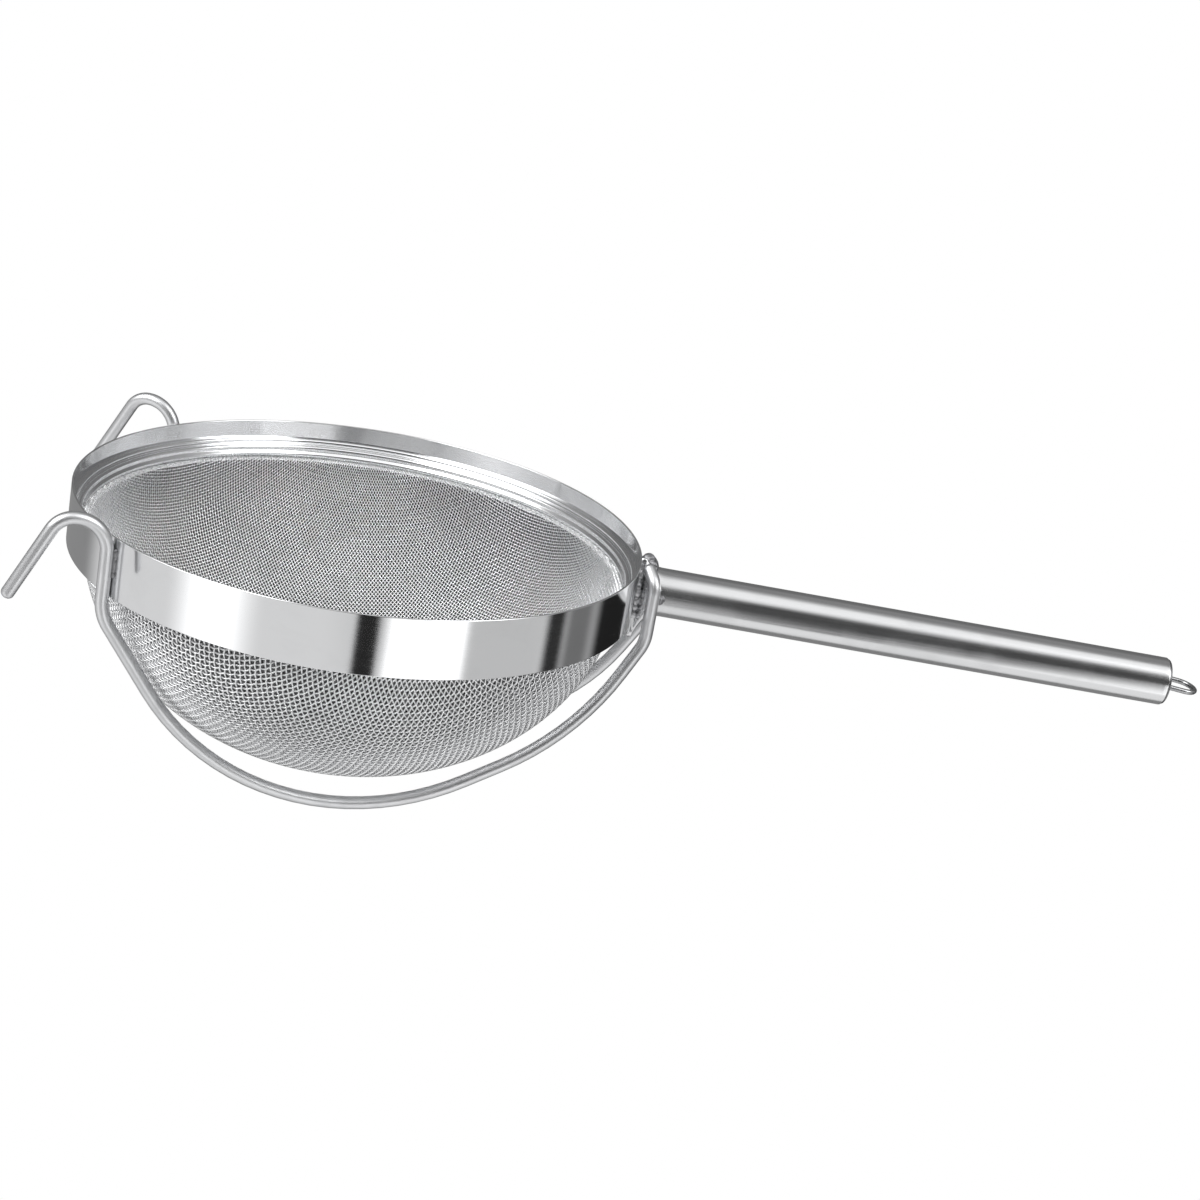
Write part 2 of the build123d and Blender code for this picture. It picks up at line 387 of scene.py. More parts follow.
def new_group(name, kind, inputs, outputs):
    """New node group with named sockets, and the outputs of its input node."""
    tree = bpy.data.node_groups.new(name, kind)
    for label, socket_type, default in inputs:
        socket = tree.interface.new_socket(name=label, in_out="INPUT", socket_type=socket_type)
        if default is not None:
            socket.default_value = default
    for label, socket_type in outputs:
        tree.interface.new_socket(name=label, in_out="OUTPUT", socket_type=socket_type)
    return tree, place_node(tree, "NodeGroupInput").outputs


def emptied_tree(owner):
    """Node tree of a new material or world, without the nodes it starts with."""
    owner.use_nodes = True
    owner.node_tree.nodes.clear()
    return owner.node_tree


def streaks_group():
    """Fine lines from drawing, rolling or brushing, along a stretched coordinate."""
    name = "Drawn lines"
    if name in bpy.data.node_groups:
        return bpy.data.node_groups[name]
    tree, given = new_group(
        name,
        "ShaderNodeTree",
        [
            ("Vector", "NodeSocketVector", None),
            ("Fineness", "NodeSocketFloat", 1.0),
            ("Depth", "NodeSocketFloat", 0.1),
            ("Height", "NodeSocketFloat", 0.00002),
        ],
        [("Mask", "NodeSocketFloat"), ("Normal", "NodeSocketVector")],
    )
    lines = output_of(
        tree,
        "ShaderNodeTexNoise",
        {"Vector": given["Vector"], "Scale": given["Fineness"], "Detail": 3.0, "Roughness": 0.6},
    )
    mask = output_of(
        tree, "ShaderNodeMapRange", {"Value": lines, "From Min": 0.3, "From Max": 0.7}
    )
    normal = output_of(
        tree,
        "ShaderNodeBump",
        {"Strength": given["Depth"], "Distance": given["Height"], "Height": mask},
    )
    place_node(tree, "NodeGroupOutput", {"Mask": mask, "Normal": normal})
    return tree


def marks_and_shade_clouds_group():
    """Soft cloudy mask: marks from handling and rinsing on the steel, and the uneven darkness of
    the painted shade skins.
    """
    name = "Handling marks"
    if name in bpy.data.node_groups:
        return bpy.data.node_groups[name]
    tree, given = new_group(
        name,
        "ShaderNodeTree",
        [
            ("Vector", "NodeSocketVector", None),
            ("Fineness", "NodeSocketFloat", 30.0),
            ("Threshold", "NodeSocketFloat", 0.5),
        ],
        [("Mask", "NodeSocketFloat")],
    )
    cloud = output_of(
        tree,
        "ShaderNodeTexNoise",
        {
            "Vector": given["Vector"],
            "Scale": given["Fineness"],
            "Detail": 5.0,
            "Roughness": 0.55,
            "Distortion": 0.4,
        },
    )
    mask = output_of(
        tree,
        "ShaderNodeMapRange",
        {"Value": cloud, "From Min": given["Threshold"], "From Max": 0.8},
    )
    place_node(tree, "NodeGroupOutput", {"Mask": mask})
    return tree


def marks_and_shade_clouds(tree, where, fineness):
    """Mask of the cloudy marks in a material's tree: handling marks on the steel, uneven painted
    shade on the dark skins.
    """
    inputs = {"Vector": where, "Fineness": fineness}
    group = place_node(tree, "ShaderNodeGroup", inputs, node_tree=marks_and_shade_clouds_group())
    return group.outputs["Mask"]


def mixed(tree, amount, first, second):
    """Colour between two, each given as three numbers."""
    inputs = {0: amount, 6: (*first, 1), 7: (*second, 1)}
    return place_node(tree, "ShaderNodeMix", inputs, data_type="RGBA").outputs[2]


class Finish(NamedTuple):
    """Finish of one steel.

    stretch scales the coordinate of the drawn lines in each direction; with wire_map
    it scales the place round and along a wire, which the wire's mesh carries. marks is
    the fineness of the handling marks, and shade how much they darken.
    """

    colour: str
    rough: float
    spread: float
    stretch: tuple
    fineness: float
    depth: float
    marks: float
    shade: float
    wire_map: bool = False


FINISHES = {
    "Polished band steel": Finish("polished", 0.05, 0.03, (6, 6, 3000), 1.0, 0.15, 40, 0.15),
    "Rolled ring steel": Finish("polished", 0.1, 0.06, (12, 12, 3000), 1.0, 0.2, 60, 0.2),
    "Woven steel wire": Finish("woven", 0.22, 0.1, (900, 900, 900), 1.0, 0.15, 180, 0.25),
    "Drawn wire steel": Finish("drawn", 0.33, 0.1, (1.2, 1.2, 25), 3.0, 0.15, 70, 0.3, True),
    "Satin tube steel": Finish("satin", 0.16, 0.07, (14, 2600, 2600), 1.0, 0.12, 45, 0.25),
    # The end cap's steel is a darker copy of the satin tube's: painted shade.
    "End cap steel": Finish("cap", 0.28, 0.1, (2600, 14, 14), 1.0, 0.1, 60, 0.2),
    # The loop's steel is a darker copy of the drawn wire's: painted shade.
    "Loop wire steel": Finish("loop", 0.2, 0.1, (1.2, 1.2, 25), 3.0, 0.15, 90, 0.3, True),
    "Weld bead steel": Finish("weld", 0.36, 0.2, (900, 900, 900), 1.0, 0.8, 300, 0.8),
    # The blade's weld steel is a lighter copy of the weld steel: painted highlight.
    "Blade weld steel": Finish("blade_weld_highlight", 0.24, 0.2, (900, 900, 900), 1.0, 0.6, 400, 0.9),
}


def steel(name):
    """Steel with drawn lines, handling marks and a tone that varies a little."""
    if name in bpy.data.materials:
        return bpy.data.materials[name]
    finish, colours = FINISHES[name], settings().steel
    material = bpy.data.materials.new(name)
    tree = emptied_tree(material)
    where = place_node(tree, "ShaderNodeTexCoord").outputs["Object"]
    along = where
    if finish.wire_map:
        wire_place = place_node(tree, "ShaderNodeAttribute", attribute_name="wire_map")
        along = wire_place.outputs["Vector"]
    stretched = vector_maths(tree, "MULTIPLY", along, finish.stretch)
    inputs = {"Vector": stretched, "Fineness": finish.fineness, "Depth": finish.depth}
    lines = place_node(tree, "ShaderNodeGroup", inputs, node_tree=streaks_group()).outputs
    marks = marks_and_shade_clouds(tree, where, finish.marks)
    stained = maths(tree, "MULTIPLY", marks, finish.shade)
    rough_lines = output_of(
        tree,
        "ShaderNodeMapRange",
        {"Value": lines["Mask"], "To Min": finish.rough, "To Max": finish.rough + finish.spread},
    )
    shader = output_of(
        tree,
        "ShaderNodeBsdfPrincipled",
        {
            "Base Color": mixed(tree, stained, getattr(colours, finish.colour), colours.stain),
            "Metallic": 1.0,
            "Roughness": maths(tree, "MULTIPLY_ADD", marks, finish.spread, rough_lines),
            "Normal": lines["Normal"],
        },
    )
    place_node(tree, "ShaderNodeOutputMaterial", {"Surface": shader})
    return material


def carried(tree, name, kind="FLOAT"):
    """Value of a named attribute in a geometry tree."""
    node = place_node(tree, "GeometryNodeInputNamedAttribute", {"Name": name}, data_type=kind)
    return node.outputs["Attribute"]


def stored(tree, geometry, name, value, kind="FLOAT"):
    """Geometry with a named attribute on its points."""
    inputs = {"Geometry": geometry, "Name": name, "Value": value}
    return output_of(
        tree, "GeometryNodeStoreNamedAttribute", inputs, data_type=kind, domain="POINT"
    )


def end_tree(tree, swept, material, label):
    """Close a geometry tree with smooth faces, real geometry and the material."""
    smooth = output_of(tree, "GeometryNodeSetShadeSmooth", {"Geometry": swept})
    real = output_of(tree, "GeometryNodeRealizeInstances", {"Geometry": smooth})
    painted = output_of(
        tree, "GeometryNodeSetMaterial", {"Geometry": real, "Material": material}
    )
    place_node(tree, "NodeGroupOutput", {label: painted})


def circle_of(tree, given):
    """Round section of a wire in a geometry tree."""
    inputs = {"Resolution": given["Faces Round"], "Radius": given["Wire Radius"]}
    return output_of(tree, "GeometryNodeCurvePrimitiveCircle", inputs)


def swept_tree():
    """Tree that sweeps a round wire along a line, thinner where "girth" says so."""
    name = "Swept wire"
    if name in bpy.data.node_groups:
        return bpy.data.node_groups[name]
    tree, given = new_group(
        name,
        "GeometryNodeTree",
        [
            ("Line", "NodeSocketGeometry", None),
            ("Wire Radius", "NodeSocketFloat", 0.0025),
            ("Faces Round", "NodeSocketInt", 32),
            ("Material", "NodeSocketMaterial", None),
        ],
        [("Wire", "NodeSocketGeometry")],
    )
    line = output_of(tree, "GeometryNodeMeshToCurve", {"Mesh": given["Line"]})
    girth = carried(tree, "girth")
    sized = output_of(tree, "GeometryNodeSetCurveRadius", {"Curve": line, "Radius": girth})
    run = place_node(tree, "GeometryNodeSplineParameter").outputs["Length"]
    along = stored(tree, sized, "wire_length", run)
    place = output_of(tree, "GeometryNodeInputPosition")
    unit = vector_maths(tree, "NORMALIZE", place)
    around = stored(tree, circle_of(tree, given), "wire_round", unit, "FLOAT_VECTOR")
    swept = output_of(
        tree,
        "GeometryNodeCurveToMesh",
        {"Curve": along, "Profile Curve": around, "Scale": girth, "Fill Caps": True},
    )
    upright = output_of(tree, "ShaderNodeCombineXYZ", {"Z": carried(tree, "wire_length")})
    both = vector_maths(tree, "ADD", carried(tree, "wire_round", "FLOAT_VECTOR"), upright)
    mapped = stored(tree, swept, "wire_map", both, "FLOAT_VECTOR")
    end_tree(tree, mapped, given["Material"], "Wire")
    return tree


def woven_tree():
    """Tree that lifts each line over and under its neighbours and sweeps thin wire."""
    name = "Woven wire"
    if name in bpy.data.node_groups:
        return bpy.data.node_groups[name]
    tree, given = new_group(
        name,
        "GeometryNodeTree",
        [
            ("Lines", "NodeSocketGeometry", None),
            ("Wire Radius", "NodeSocketFloat", 0.00025),
            ("Weave Lift", "NodeSocketFloat", 0.00025),
            ("Faces Round", "NodeSocketInt", 4),
            ("Material", "NodeSocketMaterial", None),
        ],
        [("Cloth", "NodeSocketGeometry")],
    )
    lift = maths(tree, "MULTIPLY", carried(tree, "over"), given["Weave Lift"])
    offset = output_of(
        tree,
        "ShaderNodeVectorMath",
        {0: carried(tree, "cloth_normal", "FLOAT_VECTOR"), "Scale": lift},
        operation="SCALE",
    )
    lifted = output_of(
        tree, "GeometryNodeSetPosition", {"Geometry": given["Lines"], "Offset": offset}
    )
    lines = output_of(tree, "GeometryNodeMeshToCurve", {"Mesh": lifted})
    swept = output_of(
        tree,
        "GeometryNodeCurveToMesh",
        {"Curve": lines, "Profile Curve": circle_of(tree, given), "Fill Caps": True},
    )
    end_tree(tree, swept, given["Material"], "Cloth")
    return tree


def line_mesh(name, lines, attributes):
    """Mesh of loose lines; attributes holds (name, kind, one array for each line)."""
    points = np.concatenate(lines)
    sizes = [len(line) for line in lines]
    starts = np.cumsum([0, *sizes[:-1]])
    edges = np.concatenate(
        [
            np.stack([np.arange(size - 1), np.arange(1, size)], axis=-1) + start
            for start, size in zip(starts, sizes)
        ]
    )
    mesh = bpy.data.meshes.new(name)
    mesh.vertices.add(len(points))
    mesh.vertices.foreach_set("co", points.astype(np.float32).ravel())
    mesh.edges.add(len(edges))
    mesh.edges.foreach_set("vertices", edges.astype(np.int32).ravel())
    for label, kind, values in attributes:
        attribute = mesh.attributes.new(label, kind, "POINT")
        key = "vector" if kind == "FLOAT_VECTOR" else "value"
        attribute.data.foreach_set(key, np.concatenate(values).astype(np.float32).ravel())
    mesh.update()
    return mesh


def plain_mesh(name, holder, spare):
    """Plain mesh of an object with its modifiers, which itself goes, as its mesh does."""
    seen = holder.evaluated_get(bpy.context.evaluated_depsgraph_get())
    mesh = bpy.data.meshes.new_from_object(seen)
    mesh.name = name
    bpy.data.objects.remove(holder)
    bpy.data.meshes.remove(spare)
    return mesh


def grown(name, lines, tree, inputs, dropped):
    """Plain mesh that a tree makes from loose lines, without the dropped attributes."""
    holder = bpy.data.objects.new(name, lines)
    bpy.context.scene.collection.objects.link(holder)
    modifier = holder.modifiers.new(tree.name, "NODES")
    modifier.node_group = tree
    for item in tree.interface.items_tree:
        if item.in_out == "INPUT" and item.name in inputs:
            modifier[item.identifier] = inputs[item.name]
    mesh = plain_mesh(name, holder, lines)
    for label in dropped:
        if label in mesh.attributes:
            mesh.attributes.remove(mesh.attributes[label])
    return mesh


SECTION_POINTS = 4000
NET_ROUNDS = 8
LEAST_VOLUME = 1e-3


def draped_net(pitch, radius, depth, steps):
    """Crossings of a net with links of one length, laid on a quarter of the bowl.

    The bowl is half an ellipsoid that goes on upwards as a cylinder. Each crossing
    follows from the two before it, a link away from both.
    """
    slope = np.linspace(0, math.pi / 2, SECTION_POINTS)
    table_r = radius * np.sin(slope)
    table_z = -depth * np.cos(slope)
    table_s = np.concatenate([[0], np.cumsum(np.hypot(np.diff(table_r), np.diff(table_z)))])
    net = np.full((steps, steps, 3), np.nan)
    for index in range(steps):
        run = index * pitch
        reach = np.interp(run, table_s, table_r)
        height = np.interp(run, table_s, table_z) + max(0, run - table_s[-1])
        net[index, 0] = (reach, 0, height)
        net[0, index] = (0, reach, height)

    def misfit(point):
        x, y, z = point[..., 0], point[..., 1], np.minimum(point[..., 2], 0)
        value = (x * x + y * y) / radius**2 + (z / depth) ** 2 - 1
        slope_of = np.stack([2 * x / radius**2, 2 * y / radius**2, 2 * z / depth**2], -1)
        return value, slope_of

    for diagonal in range(2, 2 * steps - 1):
        i = np.arange(max(1, diagonal - steps + 1), min(diagonal, steps))
        j = diagonal - i
        inside = (j >= 1) & (j < steps)
        i, j = i[inside], j[inside]
        first, second = net[i - 1, j], net[i, j - 1]
        point = first + second - net[i - 1, j - 1]
        for _ in range(NET_ROUNDS):
            value, slope_of = misfit(point)
            error = np.stack(
                [
                    (((point - first) / pitch) ** 2).sum(-1) - 1,
                    (((point - second) / pitch) ** 2).sum(-1) - 1,
                    value,
                ],
                -1,
            )
            system = np.stack(
                [2 * (point - first) / pitch**2, 2 * (point - second) / pitch**2, slope_of], -2
            )
            system = np.nan_to_num(system)
            lost = ~np.isfinite(error).all(-1) | (abs(np.linalg.det(system)) < LEAST_VOLUME)
            system[lost] = np.eye(3)
            error[lost] = np.nan
            step = np.linalg.solve(system, error[..., None])[..., 0]
            point = point - np.clip(step, -pitch, pitch)
        net[i, j] = point
    return net


def folded(points, radius, depth, fold, top):
    """Fold what lies above the bowl's mouth into a flat edge, and give the normals."""
    x, y, z = points[:, 0], points[:, 1], points[:, 2]
    reach = np.hypot(x, y)
    outward = np.stack([x, y], -1) / np.maximum(reach, 1e-9)[:, None]
    run = z + fold
    turn = np.clip(run / fold, 0, math.pi / 2)
    beyond = np.maximum(0, run - fold * math.pi / 2)
    new_reach = np.where(run > 0, radius + fold * (1 - np.cos(turn)) + beyond, reach)
    new_z = np.where(run > 0, fold * (np.sin(turn) - 1), z)
    place = np.concatenate([outward * new_reach[:, None], (new_z + top)[:, None]], -1)
    slope = np.stack([x / radius**2, y / radius**2, z / depth**2], -1)
    slope /= np.linalg.norm(slope, axis=-1)[:, None]
    bent = np.concatenate([outward * np.cos(turn)[:, None], -np.sin(turn)[:, None]], -1)
    normal = np.where((run > 0)[:, None], bent, slope)
    return place, normal


WEAVE_SHARES = (0.22, 0.78)
SPARE_LENGTH = 1.02
SPARE_LINKS = 4


def cloth_lines(pitch, radius, depth, fold, top, turn, edge):
    """Both families of a cloth's wires as lines with their weave and normals."""
    last_height = fold * (math.pi / 2 - 1) + edge - radius - fold
    quarter = math.pi / 4 * (radius + depth) + 2 * last_height + fold
    steps = int(SPARE_LENGTH * quarter / pitch) + SPARE_LINKS
    net = draped_net(pitch, radius, depth, steps)
    whole = np.empty((2 * steps - 1, 2 * steps - 1, 3))
    for i_sign in (1, -1):
        for j_sign in (1, -1):
            rows = steps - 1 + i_sign * np.arange(steps)
            columns = steps - 1 + j_sign * np.arange(steps)
            whole[np.ix_(rows, columns)] = net * (i_sign, j_sign, 1)
    cos, sin = math.cos(turn), math.sin(turn)
    spin = np.array([[cos, sin, 0], [-sin, cos, 0], [0, 0, 1]])
    families = []
    for family in (0, 1):
        grid = whole if family == 0 else whole.transpose(1, 0, 2)
        lines = []
        for index in range(2 * steps - 1):
            nodes = grid[index]
            under = np.nan_to_num(nodes[:, 2], nan=1) < last_height
            if not under[steps - 1]:
                continue
            low = steps - 1 - np.argmin(under[steps - 1 :: -1]) + 1
            high = steps - 1 + np.argmin(under[steps - 1 :])
            nodes = nodes[low - 1 : high + 1]
            if not np.isfinite(nodes).all():
                continue
            signs = np.where((np.arange(low - 1, high + 1) + index + family) % 2, 1.0, -1.0)
            points, over = [], []
            for k in range(len(nodes) - 1):
                for part in WEAVE_SHARES:
                    points.append(nodes[k] + (nodes[k + 1] - nodes[k]) * part)
                    over.append(signs[k] if part < 0.5 else signs[k + 1])
            points, over = np.array(points), np.array(over)
            kept = points[:, 2] < last_height
            place, normal = folded(points[kept], radius, depth, fold, top)
            lines.append((place @ spin, normal @ spin, over[kept]))
        families.append(lines)
    return families


def weave(name, layer, families, wire, groups):
    """Cloth pieces, each a run of neighbouring wires of one family."""
    inputs = {
        "Wire Radius": wire / 2 * settings().cloth.fullness,
        "Weave Lift": wire / 2,
        "Faces Round": 4,
        "Material": steel("Woven steel wire"),
    }
    for label, lines in zip(("warp", "weft"), families):
        sizes = np.cumsum([len(line[2]) for line in lines])
        bins = np.minimum((sizes - 1) * groups // sizes[-1], groups - 1)
        for group in range(groups):
            chosen = [line for line, home in zip(lines, bins) if home == group]
            piece_name = f"{name}_{label}_{group + 1}"
            places, normals, overs = zip(*chosen)
            attributes = [("cloth_normal", "FLOAT_VECTOR", normals), ("over", "FLOAT", overs)]
            mesh = line_mesh(piece_name, places, attributes)
            made = grown(piece_name, mesh, woven_tree(), inputs, ("cloth_normal",))
            keep_piece(piece_name, made, "woven_steel", layer)


class STRAINER_OT_band(bpy.types.Operator):
    """Turn the polished band, with rounded edges"""

    bl_idname = "strainer.band"
    bl_label = "Polished band"

    def execute(self, context):
        sizes = settings().band
        outer = sizes.diameter / 2
        inner = outer - sizes.thickness
        corners = [(inner, 0), (outer, 0), (outer, -sizes.height), (inner, -sizes.height)]
        rounding = [sizes.thickness * sizes.edge_share] * len(corners)
        outline = filleted(corners, rounding, EDGE_STEP, closed=True)
        points, faces = turned(outline, sizes.segments)
        mesh = smooth_mesh("polished_band", points, faces, steel("Polished band steel"))
        keep_piece("polished_band", mesh, "mirror_steel", "rim_band")
        return {"FINISHED"}


RING_SAMPLES = 60
RING_SOFTENING = (0.1, 0.2, 0.4, 0.2, 0.1)


class STRAINER_OT_ring(bpy.types.Operator):
    """Turn the sloping ring with its two rolled beads"""

    bl_idname = "strainer.ring"
    bl_label = "Rolled ring"

    def execute(self, context):
        sizes = settings().ring
        band = settings().band
        wall = band.diameter / 2 - band.thickness - sizes.clearance
        top = np.array([wall, -sizes.drop])
        lip = np.array([wall - sizes.reach, -sizes.drop - sizes.fall])
        bottom = lip[1] - sizes.foot
        run = np.linalg.norm(lip - top)
        down = (lip - top) / run
        out = np.array([down[1], -down[0]])
        samples = np.linspace(0, run, RING_SAMPLES)
        rise = np.zeros_like(samples)
        for place in (sizes.first_bead, sizes.second_bead):
            off = samples - place * run
            rise = np.maximum(rise, np.sqrt(np.maximum(0, sizes.bead_radius**2 - off**2)))
        rise = np.pad(rise, len(RING_SOFTENING) // 2, mode="edge")
        soft = np.convolve(rise, RING_SOFTENING, "valid")
        slope = [top + down * along + out * up for along, up in zip(samples, soft)]
        outline = [*slope, np.array([lip[0], bottom]), np.array([wall, bottom])]
        points, faces = turned(outline, sizes.segments)
        mesh = smooth_mesh("rolled_ring", points, faces, steel("Rolled ring steel"))
        keep_piece("rolled_ring", mesh, "mirror_steel", "mesh_clamp_ring")
        return {"FINISHED"}


def bowl_sizes():
    """Widest radius of the outer layer's outside, and the height of each layer's top."""
    band, ring, cloth = settings().band, settings().ring, settings().cloth
    radius = band.diameter / 2 - band.thickness - cloth.inset
    inner_top = -(ring.drop + ring.fall + ring.foot) - ring.clearance
    outer_top = inner_top - 2 * cloth.inner_wire - cloth.gap
    return radius, inner_top, outer_top


def cloth_edge():
    """Radius of the cloths' cut edge."""
    band = settings().band
    return band.diameter / 2 - band.thickness - settings().cloth.edge_gap


class STRAINER_OT_outer_cloth(bpy.types.Operator):
    """Weave the coarse outer cloth of the bowl"""

    bl_idname = "strainer.outer_cloth"
    bl_label = "Outer cloth"

    def execute(self, context):
        cloth = settings().cloth
        radius, _, top = bowl_sizes()
        families = cloth_lines(
            cloth.outer_pitch,
            radius - cloth.outer_wire,
            cloth.depth - 2 * cloth.outer_wire,
            cloth.fold_radius,
            top - cloth.outer_wire,
            cloth.outer_turn,
            cloth_edge(),
        )
        weave("outer_cloth", "outer_mesh", families, cloth.outer_wire, 2)
        return {"FINISHED"}


class STRAINER_OT_inner_cloth(bpy.types.Operator):
    """Weave the fine inner cloth of the bowl"""

    bl_idname = "strainer.inner_cloth"
    bl_label = "Inner cloth"

    def execute(self, context):
        cloth = settings().cloth
        radius, top, _ = bowl_sizes()
        inset = 2 * cloth.outer_wire + cloth.gap + cloth.inner_wire
        families = cloth_lines(
            cloth.inner_pitch,
            radius - inset,
            cloth.depth - 2 * cloth.outer_wire - 2 * cloth.inner_wire,
            cloth.fold_radius,
            top - cloth.inner_wire,
            cloth.inner_turn,
            cloth_edge(),
        )
        weave("inner_cloth", "inner_mesh", families, cloth.inner_wire, 4)
        return {"FINISHED"}


SHADE_CLOUDS = 25
SHADE_ROUGHNESS = 0.8
SHADE_ROWS = 41


def dark_between(name, inside_cover, outside_cover):
    """Painted shade that darkens the gaps between the wires, by its own share from either side.

    Only the skin's outer surface covers, so its thickness doesn't count twice.
    """
    colours = settings().steel
    material = bpy.data.materials.new(name)
    tree = emptied_tree(material)
    where = place_node(tree, "ShaderNodeTexCoord").outputs["Object"]
    # Cloudy mask that makes the painted shade uneven.
    cloud = marks_and_shade_clouds(tree, where, SHADE_CLOUDS)
    tone = mixed(tree, cloud, colours.shade_dark, colours.shade_light)
    side = place_node(tree, "ShaderNodeNewGeometry").outputs["Backfacing"]
    outer = place_node(tree, "ShaderNodeAttribute", attribute_name="outer_face").outputs["Fac"]
    seen = output_of(
        tree,
        "ShaderNodeMapRange",
        {"Value": side, "To Min": outside_cover, "To Max": inside_cover},
    )
    cover = maths(tree, "MULTIPLY", seen, outer)
    shader = output_of(
        tree,
        "ShaderNodeBsdfPrincipled",
        {"Base Color": tone, "Roughness": SHADE_ROUGHNESS, "Alpha": cover},
    )
    place_node(tree, "ShaderNodeOutputMaterial", {"Surface": shader})
    return material


class STRAINER_OT_cloth_shade(bpy.types.Operator):
    """Lay the two thin dark skins, between and outside the cloths, that paint the shade in the
    gaps
    """

    bl_idname = "strainer.cloth_shade"
    bl_label = "Cloth shade"

    def execute(self, context):
        cloth, shade = settings().cloth, settings().shade
        radius, _, top = bowl_sizes()
        inner_radius = radius - 2 * cloth.outer_wire - shade.inset
        inner_depth = cloth.depth - 3 * cloth.outer_wire - shade.lift
        inner_top = top - cloth.outer_wire
        between = dark_between(
            "Dark between the cloths", shade.between_inside, shade.between_outside
        )
        self.lay("cloth_shade", inner_radius, inner_depth, inner_top, inner_top, between)
        clear = shade.clearance
        behind = dark_between(
            "Dark behind the cloth", shade.behind_inside, shade.behind_outside
        )
        mouth = inner_top - cloth.fold_radius - clear
        self.lay("bowl_shade", radius + clear, cloth.depth + clear, top, mouth, behind)
        return {"FINISHED"}

    def lay(self, name, radius, depth, top, mouth, material):
        """One skin, half an ellipsoid whose upper edge stands at the mouth's height."""
        shade = settings().shade
        slopes = np.linspace(0, math.acos((top - mouth) / depth), SHADE_ROWS)
        outline = [
            ((radius - off) * math.sin(slope), top - (depth - off) * math.cos(slope))
            for off, order in ((0, 1), (shade.thickness, -1))
            for slope in slopes[::order]
        ]
        points, faces = turned(outline, shade.segments)
        mesh = smooth_mesh(name, points, faces, material)
        middle = shade.thickness / 2
        outer = mesh.attributes.new("outer_face", "FLOAT", "POINT")
        for vertex, value in zip(mesh.vertices, outer.data):
            reach = math.hypot(vertex.co.x, vertex.co.y) / (radius - middle)
            drop = (vertex.co.z - top) / (depth - middle)
            value.value = float(math.hypot(reach, drop) > 1)
        skin = keep_piece(name, mesh, "woven_steel", "outer_mesh")
        skin.visible_glossy = False
        skin.visible_diffuse = False
        skin.visible_shadow = False


TIP_ROWS = 7


def with_round_tips(points, radius, rounding):
    """Line with closer points at its ends, and the wire's girth at each point."""
    reach = radius * rounding
    flat = 1 - rounding
    angles = np.linspace(0, math.pi / 2, TIP_ROWS)
    run_in = reach * (1 - np.cos(angles))
    girths = flat + rounding * np.sin(angles)
    first = (points[1] - points[0]) / np.linalg.norm(points[1] - points[0])
    last = (points[-2] - points[-1]) / np.linalg.norm(points[-2] - points[-1])
    head = [points[0] + first * step for step in run_in]
    tail = [points[-1] + last * step for step in run_in[::-1]]
    line = np.array([*head, *points[1:-1], *tail])
    girth = np.array([*girths, *np.ones(len(points) - 2), *girths[::-1]])
    return line, girth


def swept_wire(name, line, girth, radius, segments, material):
    """Plain mesh of one round wire."""
    mesh = line_mesh(name, [line], [("girth", "FLOAT", [girth])])
    inputs = {"Wire Radius": radius, "Faces Round": segments, "Material": material}
    return grown(name, mesh, swept_tree(), inputs, ("girth", "wire_length", "wire_round"))


# The bow's two corners, as shares of its span and of the bowl's drop, its bend as a
# share of the bowl's radius, and the bends of the support wire's other corners.
BOW_FRONT = (0.326, 1.312)
BOW_BACK = (0.894, 0.716)
BOW_BEND_SHARE = 0.95
TIP_BEND, HOOK_BEND, LEG_BEND = 9 * MM, 12 * MM, 20 * MM
ROOT_BEND, LEAN_BEND = 14 * MM, 7 * MM
ROOT_SETBACK = 5 * MM
TIP_LOWERING = 1.1 * MM


def tube_start():
    """Place along X where the flattened end has turned round."""
    handle = settings().handle
    return settings().band.diameter / 2 + handle.blade_length + handle.flare_length


def leg_radius():
    """Radius at which the support wires stand on the band."""
    band, wire = settings().band, settings().wires
    return band.diameter / 2 + wire.diameter / 2 + wire.gap


def support_route(side):
    """Corners and bends of a support wire's route from the hook's tip to the handle."""
    wire, handle = settings().wires, settings().handle
    radius, _, top = bowl_sizes()
    bowl_drop = settings().cloth.depth - top
    wire_radius = wire.diameter / 2
    leg = leg_radius()
    turn = wire.hook_angle
    foot = np.array([-leg * math.cos(turn), side * leg * math.sin(turn), 0])
    root_y = handle.diameter / 2 + wire_radius + wire.gap
    root = np.array([tube_start() - ROOT_SETBACK, side * root_y, 0])
    span = np.linalg.norm(root - foot)
    along = (root - foot) / span
    rise = np.array([0, 0, 1.0])
    tip_y = handle.blade_thickness / 2 + wire_radius + wire.gap
    tip = np.array([leg, side * tip_y, -handle.blade_top_drop - TIP_LOWERING])
    corners = [
        foot - along * wire.tip_reach - rise * wire.tip_drop,
        foot - along * wire.hook_span + rise * wire.hook_rise,
        foot + rise * wire.hook_rise,
        foot - rise * wire.leg_drop,
        foot + along * (span * BOW_FRONT[0]) - rise * (bowl_drop * BOW_FRONT[1]),
        foot + along * (span * BOW_BACK[0]) - rise * (bowl_drop * BOW_BACK[1]),
        root - rise * wire.root_drop,
        root - rise * wire.lean_drop,
        tip,
    ]
    bow = radius * BOW_BEND_SHARE
    bends = [0, TIP_BEND, HOOK_BEND, LEG_BEND, bow, bow, ROOT_BEND, LEAN_BEND, 0]
    return corners, bends


